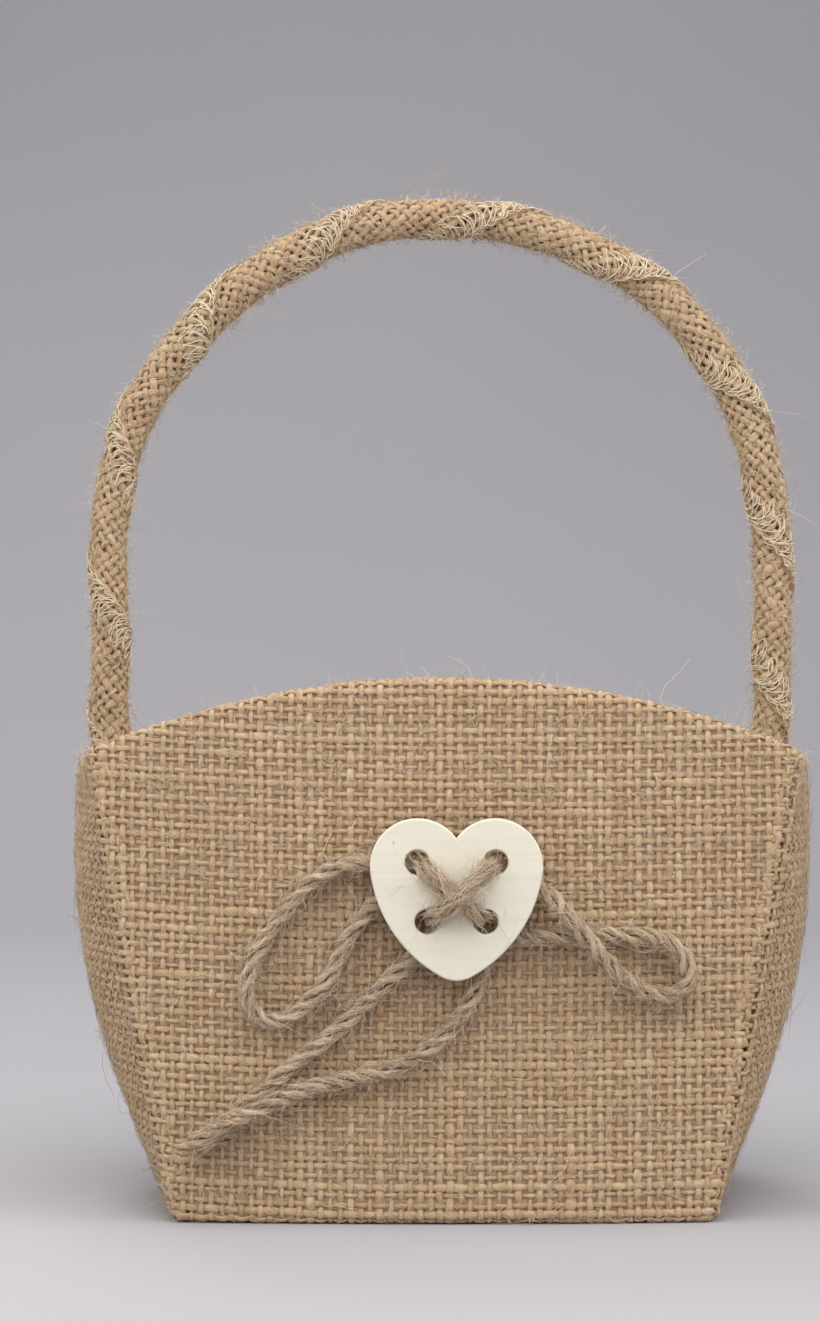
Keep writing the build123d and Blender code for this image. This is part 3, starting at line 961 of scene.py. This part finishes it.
def add_thread(bundle, rng, forward, across):
    """Lay one thread on the wound strip."""
    lift = SERGE_LIFT + wander(rng, forward, 0.12, 3.0)
    points, along = strip_point(forward, across, lift)
    normals = strip_normals(forward, across)
    for start, stop in runs_of((along > 0) & (along < HANDLE_LENGTH)):
        part = slice(start, stop)
        bundle.tube(points[part], normals[part], SERGE_RADIUS, SERGE_RADIUS, rng.uniform(0.4, 0.8), 5)


def handle_core(rng):
    """Return the bundle of the cord filling inside the wrap, above the hinge."""
    bundle = Bundle()
    along = np.arange(HINGE_AT + 1.0, HANDLE_LENGTH - HINGE_AT - 1.0, 0.9)
    centre, right, _ = handle_frame(along)
    for strand in range(CORE_STRANDS):
        angle = along / CORE_TWIST + strand * 2 * np.pi / CORE_STRANDS
        reach = CORE_REACH + wander(rng, along, 0.12, 20.0)
        line = centre + (reach * np.cos(angle))[:, None] * FRONT + (reach * np.sin(angle))[:, None] * right
        tint = 0.5 + wander(rng, along, 0.2, 12.0)
        bundle.tube(line, unit(line - centre), wide=0.85, thick=0.75, tint=tint)
    return bundle


def handle_hairs(bundle, rng):
    """Scatter loose fibres over the handle; the first few are strays."""
    for number in range(HANDLE_FIBRES):
        along = np.array([rng.uniform(4.0, HANDLE_LENGTH - 4.0)])
        around = np.array([rng.uniform(0, CIRCUMFERENCE)])
        start = wrap_point(around, along, 0.5)[0]
        ahead = wrap_point(around, along + 0.1, 0.5)[0] - start
        beside = wrap_point(around + 0.1, along, 0.5)[0] - start
        normal = np.cross(beside, ahead)
        normal = normal / np.linalg.norm(normal)
        turn = rng.uniform(0, 2 * np.pi)
        tangent = math.cos(turn) * ahead + math.sin(turn) * beside
        tangent = tangent / np.linalg.norm(tangent)
        if number < HANDLE_FIBRES // 35:
            hair(bundle, rng, start, tangent, normal, *stray(rng))
            continue
        length = rng.uniform(0.6, 3.2)
        lifted = min(0.2 + rng.exponential(0.9), 2.6)
        radius = rng.uniform(0.045, 0.085)
        hair(bundle, rng, start, tangent, normal, length, lifted, rng.normal(0, 0.5), radius, steps=4)


# ---------------------------------------------------------------- the twine


def smooth_line(name, points, spacing=0.5):
    """Return points, in millimetres and evenly spaced, along the NURBS spline through a route in metres."""
    curve = bpy.data.curves.new(name, "CURVE")
    curve.dimensions = "3D"
    curve.resolution_u = 16
    spline = curve.splines.new("NURBS")
    spline.points.add(len(points) - 1)
    for place, point in zip(spline.points, points):
        place.co = (*point, 1)
    spline.order_u = 3
    spline.use_endpoint_u = True
    holder = add_object(name, curve)
    bpy.context.view_layer.update()
    mesh = bpy.data.meshes.new_from_object(holder.evaluated_get(bpy.context.evaluated_depsgraph_get()))
    line = np.array([vertex.co for vertex in mesh.vertices]) / MM
    bpy.data.objects.remove(holder)
    bpy.data.curves.remove(curve)
    bpy.data.meshes.remove(mesh)
    lengths = distances(line)
    even = np.linspace(0, lengths[-1], int(lengths[-1] / spacing) + 1)
    return np.stack([np.interp(even, lengths, line[:, axis]) for axis in range(3)], -1)


def twist(bundle, rng, line, diameter, pitch, flat=1.0):
    """Add a twisted twine along a line: plies round each other, each made of a few strands of fibre.

    Flat is how thick it is from front to back, as a share of its width.
    """
    normals = carried_normals(line)
    tangents = unit(np.gradient(line, axis=0))
    sides = np.cross(tangents, normals)
    place = distances(line)
    pressed = np.array([1.0, flat, 1.0])
    for ply in range(PLIES):
        angle = 2 * np.pi * (place / pitch + ply / PLIES) + wander(rng, place, 0.30, 26.0)
        reach = diameter * 0.265 * (1 + wander(rng, place, 0.12, 18.0))
        out = np.cos(angle)[:, None] * normals + np.sin(angle)[:, None] * sides
        beside = np.cross(tangents, out)
        tone = 0.5 + rng.normal(0, 0.07)
        for strand in range(STRANDS):
            spin = angle - 2 * np.pi * (place / (pitch * 1.5)) + 2 * np.pi * strand / STRANDS
            spin = spin + wander(rng, place, 0.35, 12.0)
            spread = diameter * 0.125 * (1 + wander(rng, place, 0.30, 11.0))
            away = np.cos(spin)[:, None] * out + np.sin(spin)[:, None] * beside
            offset = out * reach[:, None] + away * spread[:, None]
            size = diameter * 0.105 * (1 + wander(rng, place, 0.22, 7.0))
            shade = tone + wander(rng, place, 0.15, 14.0) + rng.normal(0, 0.12)
            turn = rng.uniform(0, 50)
            bundle.tube(line + offset * pressed, away, size, size * 0.8, shade, start_turn=turn)


def twine_hairs(bundle, rng, line, diameter, per_mm):
    """Add the loose fibres of a twine, with none on its side towards the wall; the first few are strays."""
    normals = carried_normals(line)
    tangents = unit(np.gradient(line, axis=0))
    count = int(len(line) * 0.5 * per_mm)
    for number in range(count):
        at = rng.integers(1, len(line) - 1)
        angle = rng.uniform(0, 2 * np.pi)
        side = np.cross(tangents[at], normals[at])
        normal = math.cos(angle) * normals[at] + math.sin(angle) * side
        if normal[1] > TOWARDS_WALL:
            continue
        tangent = tangents[at] * rng.choice([-1, 1]) + np.cross(normal, tangents[at]) * rng.normal(0, 0.5)
        tangent = tangent / np.linalg.norm(tangent)
        start = line[at] + normal * diameter * 0.40
        if number < count // 14:
            hair(bundle, rng, start, tangent, normal, *stray(rng))
            continue
        length = min(rng.lognormal(0.95, 0.6), 9.0)
        lifted = min(rng.exponential(0.7), 2.2)
        radius = rng.uniform(0.035, 0.07)
        hair(bundle, rng, start, tangent, normal, length, lifted, rng.normal(0, 0.4), radius, steps=4)


# ---------------------------------------------------------------- camera, light and stage


def make_camera():
    """Look straight on at the front, from where the basket's faces line up as they should."""
    camera = bpy.data.cameras.new("camera")
    camera.lens = CAMERA_LENS
    camera.sensor_width = 36.0
    camera.clip_start = 0.01
    holder = add_object("camera", camera)
    holder.location = CAMERA_PLACE
    holder.rotation_euler = (math.pi / 2, 0, 0)
    bpy.context.scene.camera = holder


def area_light(name, place, size, power, colour=(1, 1, 1)):
    """Add a square soft light at place that faces the middle of the basket."""
    light = bpy.data.lights.new(name, "AREA")
    light.size = size
    light.energy = power
    light.color = colour
    holder = add_object(name, light)
    holder.location = place
    direction = Vector(np.array(MIDDLE) - np.array(place))
    holder.rotation_euler = direction.to_track_quat("-Z", "Y").to_euler()


def make_floor():
    """Lay a pale floor that curves up into a backdrop."""
    profile = [(-FLOOR_HALF, 0.0), (FLOOR_BACK, 0.0)]
    for step in range(1, 13):
        angle = step / 12 * math.pi / 2
        back = FLOOR_BACK + BACKDROP_CURVE * math.sin(angle)
        profile.append((back, BACKDROP_CURVE - BACKDROP_CURVE * math.cos(angle)))
    profile.append((FLOOR_BACK + BACKDROP_CURVE, FLOOR_HALF))
    vertices = [(x, y, z) for y, z in profile for x in (-FLOOR_HALF, FLOOR_HALF)]
    faces = [(2 * i, 2 * i + 1, 2 * i + 3, 2 * i + 2) for i in range(len(profile) - 1)]
    mesh = bpy.data.meshes.new("floor")
    mesh.from_pydata(vertices, [], faces)
    mesh.shade_smooth()
    material, tree, principled = shader("pale_paper", 0.9)
    mottle = noise(tree, coordinates(tree, "Object"), 3.0, 2.0)
    paint(tree, principled, mottle, [(0.3, (0.395, 0.385, 0.405)), (0.7, (0.415, 0.40, 0.42))])
    mesh.materials.append(material)
    add_object("floor", mesh)


def make_room():
    """Set the room's soft light and how colours are shown."""
    world = bpy.data.worlds.new("room")
    world.use_nodes = True
    background = world.node_tree.nodes["Background"]
    background.inputs["Color"].default_value = (0.86, 0.88, 0.92, 1)
    background.inputs["Strength"].default_value = 0.36
    bpy.context.scene.world = world
    bpy.context.scene.view_settings.view_transform = "Standard"


def make_lights():
    """Light the basket from both sides, the front, above and behind."""
    area_light("key_left", (-0.99, -0.46, 0.70), 0.8, 6.4, SOFT_WHITE)
    area_light("key_right", (0.99, -0.42, 0.66), 0.8, 6.1, SOFT_WHITE)
    area_light("front_fill", (0.0, -0.62, 0.54), 0.6, 3.0, SOFT_WHITE)
    area_light("top", (0.0, -0.25, 0.85), 0.6, 2.0)
    sky = bpy.data.lights.new("sky", "SUN")
    sky.energy = 0.7
    sky.angle = math.radians(60)
    add_object("sky", sky)
    area_light("rear", (-0.3, 0.80, 1.05), 0.6, 5.0)


# ---------------------------------------------------------------- the pieces


def cut_size(keeps, u_range, v_range):
    """Return ((width, length), area) of a cloth's flat cut, in metres."""
    step = 0.5
    u, v = np.meshgrid(np.arange(*u_range, step), np.arange(*v_range, step))
    kept = keeps(u, v)
    size = (float(np.ptp(u[kept])) * MM, float(np.ptp(v[kept])) * MM)
    return size, float(kept.sum() * step**2 * MM**2)


def wall_pieces(name, surface, keeps, u_range, v_range, smile, sides, seed, fold=None):
    """Smile is how a weft yarn bends up, as a function of u. Sides is how many sides a yarn has. Fold is
    (height of the rim as a function of u, how far out it reaches), where the wall has a rim.
    """
    rng = np.random.default_rng(seed)
    flat, area = cut_size(keeps, u_range, v_range)
    warp, weft = woven(rng, surface, keeps, u_range, v_range, smile, sides)
    if fold is not None:
        fill_fold(weft, rng, surface, *fold)
    warp_piece = warp.build(f"{name}_warp", BURLAP)
    weft_piece = weft.build(f"{name}_weft", BURLAP)
    for piece in (warp_piece, weft_piece):
        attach(piece, "basket")
    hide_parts(name)


def lining_floor(u, v):
    """The lining of the floor, facing up."""
    return np.stack([u, v, np.full_like(u, LINING_FLOOR)], -1)


def lining_piece(rng, name, surface, u, v):
    """Make one wall of the cotton lining over a grid of (u, v), a little slack."""
    normals = surface_normals(surface, u.ravel(), v.ravel()).reshape(*u.shape, 3)
    slack = np.zeros_like(u)
    for _ in range(5):
        turn = rng.uniform(0, np.pi)
        length = rng.uniform(14, 42)
        start = rng.uniform(0, 6)
        slack += np.sin((u * np.cos(turn) + v * np.sin(turn)) * 2 * np.pi / length + start)
    points = surface(u, v) + normals * (slack * 0.07)[..., None]
    piece = sheet_mesh(f"{name}_lining_cloth", points, LINING_THICK, LINING)
    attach(piece, "basket")
    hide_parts(f"{name}_lining")


def make_burlap():
    """Make the five burlap walls: front, back, two gussets and the floor."""
    top = RIM_TOP + RIM_ROLL * 2 + HEM + 2
    reach = seam_half_width(RIM_TOP) + 3
    for name, side, sides, seed in (("front", -1, 8, SEED), ("back", 1, 6, SEED + 1)):
        wall_pieces(f"{name}_panel", face_wall(side, CLOTH_INSET), face_keeps, (-reach, reach), (-2.0, top),
                    sagging, sides, seed, (rim_height, RIM_CORNER_X - 2))
    for name, side in SIDES:
        wall_pieces(f"{name}_gusset", gusset_wall(side, CLOTH_INSET, RIDGE), gusset_keeps,
                    (-HALF_DEPTH - 2, HALF_DEPTH + 2), (-2.0, RIM_TOP), level, 6,
                    SEED + 3 + side, (gusset_rim, HALF_DEPTH - 2.5))
    wall_pieces("bottom_panel", floor_surface, floor_keeps, (-66, 66), (-50, 50),
                level, 6, SEED + 5)


def make_lining():
    """Make the five pieces of lining: front, back, two sides and the floor."""
    rng = np.random.default_rng(SEED + 6)
    share, up = np.meshgrid(np.linspace(-1, 1, 90), np.linspace(0, 1, 80))
    v = LINING_LOW + up * (rim_height(share * LINING_RIM_REACH) - LINING_DROP - LINING_LOW)
    u = share * (seam_half_width(v) - LINING_INSET + 0.4)
    for name, side in (("front", -1), ("back", 1)):
        lining_piece(rng, name, face_wall(side, LINING_INSET), u, v)
    reach = HALF_DEPTH - LINING_INSET + 0.2
    u, v = np.meshgrid(np.linspace(-reach, reach, 70), np.linspace(LINING_LOW, LINING_SIDE_TOP, 80))
    for name, side in SIDES:
        lining_piece(rng, name, gusset_wall(side, LINING_INSET, 0.0), u, v)
    share, deep = np.meshgrid(np.linspace(-1, 1, 80), np.linspace(-1, 1, 60))
    u = share * (LINING_FLOOR_HALF_WIDTH + BULGE_LOW * (1 - deep**2))
    v = deep * (LINING_FLOOR_HALF_DEPTH + PANEL_BOW * (1 - share**2))
    lining_piece(rng, "bottom", lining_floor, u, v)


def make_handle():
    """Make the wound strip, its overlocking, the cord inside it and its loose fibres."""
    rng = np.random.default_rng(SEED + 20)
    strip = wound_strip(rng).build("handle_strip", HANDLE_BURLAP)
    thread = serging(rng).build("handle_serging", THREAD)
    fibres = Bundle()
    handle_hairs(fibres, rng)
    fuzz = fibres.build("handle_fibres", FIBRE)
    for piece, slot_name in ((strip, "handle_burlap"), (thread, "thread"), (fuzz, "handle_burlap")):
        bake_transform(piece)
    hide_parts("handle_wrap", "left_handle_tab", "right_handle_tab")
    core = handle_core(rng).build("handle_core", FILLER)
    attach(core, "handle")
    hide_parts("handle_filler")


def twine_piece(bundle, name, node):
    """Make a bundle of twine into the piece that stands for a node."""
    piece = bundle.build(name, TWINE_JUTE)
    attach(piece, "basket")
    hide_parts(node)
    return piece


def make_cords(rng, fibres):
    """Make the bow's two loops and two tails."""
    for name, route in ROUTES.items():
        line = smooth_line(name, route)
        bundle = Bundle()
        twist(bundle, rng, line, TWINE_LOOSE, TWINE_PITCH)
        piece = twine_piece(bundle, f"{name}_twine", name)
        twine_hairs(fibres, rng, line, TWINE_LOOSE, TWINE_FIBRES_PER_MM)


def make_knot(rng):
    """Make the knot behind the button: three rings of twine side by side."""
    knot = Bundle()
    turn = np.linspace(0, 2 * np.pi, 40)
    for offset in (-KNOT_SPACING, 0.0, KNOT_SPACING):
        x = KNOT[0] + offset + 0.5 * np.cos(turn)
        y = KNOT[1] + 1.15 * np.sin(turn)
        z = KNOT[2] + 4.1 * np.cos(turn)
        twist(knot, rng, np.stack([x, y, z], -1), KNOT_TWINE, KNOT_PITCH)
    twine_piece(knot, "bow_knot_twine", "bow_knot")


def hole_point(side, hole, upwards):
    """Return a point just behind the button, near one of its holes and a little towards the middle."""
    across = HEART_X + side * (hole[0] - 0.7)
    return np.array([across, HEART_BACK + 0.5, HEART_TOP + hole[1] + upwards])


def make_button_twine(rng, fibres):
    """Make the two strands that cross on the button, each from an upper hole to the lower one opposite.

    Each strand's rises are (share of the way, how far it stands in front of the button).
    """
    under = ((0.08, 1.6), (0.3, 2.0), (0.7, 2.0), (0.92, 1.6))
    over = ((0.07, 1.8), (0.24, 3.2), (0.42, 5.7), (0.58, 5.7), (0.76, 3.2), (0.93, 1.8))
    for name, side, rises in (("button_twine_under", -1, under), ("button_twine_over", 1, over)):
        first = hole_point(side, UPPER_HOLE, -0.6)
        last = hole_point(-side, LOWER_HOLE, 0.6)
        route = [first]
        for share, rise in rises:
            point = first + (last - first) * share
            point[1] = HEART_FRONT - rise
            route.append(point)
        route.append(last)
        line = smooth_line(name, [tuple(point * MM) for point in route], 0.35)
        bundle = Bundle()
        twist(bundle, rng, line, BUTTON_TWINE, BUTTON_TWINE_PITCH, BUTTON_TWINE_FLAT)
        twine_piece(bundle, f"{name}_jute", name)
        twine_hairs(fibres, rng, line[6:-6], BUTTON_TWINE, BUTTON_FIBRES_PER_MM)


def make_bow():
    """Make the bow's four cords, its knot, the twine through the button, and their loose fibres."""
    rng = np.random.default_rng(SEED + 30)
    fibres = Bundle()
    make_cords(rng, fibres)
    make_knot(rng)
    make_button_twine(rng, fibres)
    fuzz = fibres.build("twine_fibres", FIBRE)
    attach(fuzz, "basket")


def make_fibres():
    """Scatter loose fibres over the burlap walls and along the rim."""
    rng = np.random.default_rng(SEED + 40)
    reach = seam_half_width(RIM_TOP)
    top = RIM_TOP + 4
    walls = (
        ("front_fibres", face_wall(-1, CLOTH_INSET), face_keeps, reach, top, FRONT_FIBRES),
        ("back_fibres", face_wall(1, CLOTH_INSET), face_keeps, reach, top, BACK_FIBRES),
        ("left_fibres", gusset_wall(-1, CLOTH_INSET, RIDGE), gusset_keeps, HALF_DEPTH, 107, GUSSET_FIBRES),
        ("right_fibres", gusset_wall(1, CLOTH_INSET, RIDGE), gusset_keeps, HALF_DEPTH, 107, GUSSET_FIBRES),
    )
    for name, surface, keeps, wide, high, count in walls:
        bundle = Bundle()
        surface_hairs(bundle, rng, surface, keeps, (-wide, wide), (1, high), count)
        fuzz = bundle.build(name, FIBRE)
        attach(fuzz, "basket")


def dress_cad_nodes():
    """Give each CAD node that stays visible its material."""
    materials = {
        "heart_button": heart_material(),
        "handle_wire": metal_material(),
        "left_tab_stitches": THREAD,
        "right_tab_stitches": THREAD,
    }
    card = board_material()
    for name in ("front_board", "back_board", "left_board", "right_board", "base_board"):
        materials[name] = card
    for name, material in materials.items():
        mesh = frame["nodes"][name].data
        mesh.materials.clear()
        mesh.materials.append(material)


BURLAP = yarn_material("burlap_yarn", BURLAP_STOPS)
HANDLE_BURLAP = yarn_material("handle_yarn", BURLAP_STOPS, around=2.4)
TWINE_JUTE = yarn_material("jute_twine", TWINE_STOPS, along=0.25, around=2.2, twist=0.05, fleck=0.35)
THREAD = yarn_material(
    "cream_thread", THREAD_STOPS, along=1.2, around=1.5, twist=0.6, depth=0.00004, fleck=0.0
)
FIBRE = yarn_material("loose_fibre", FIBRE_STOPS, fleck=0.0, depth=0.00001)
FILLER = yarn_material("dark_cord", FILLER_STOPS, along=0.6, fleck=0.0)
LINING = lining_material()

make_camera()
make_floor()
make_room()
make_lights()
dress_cad_nodes()
make_bow()
make_handle()
make_burlap()
make_lining()
make_fibres()
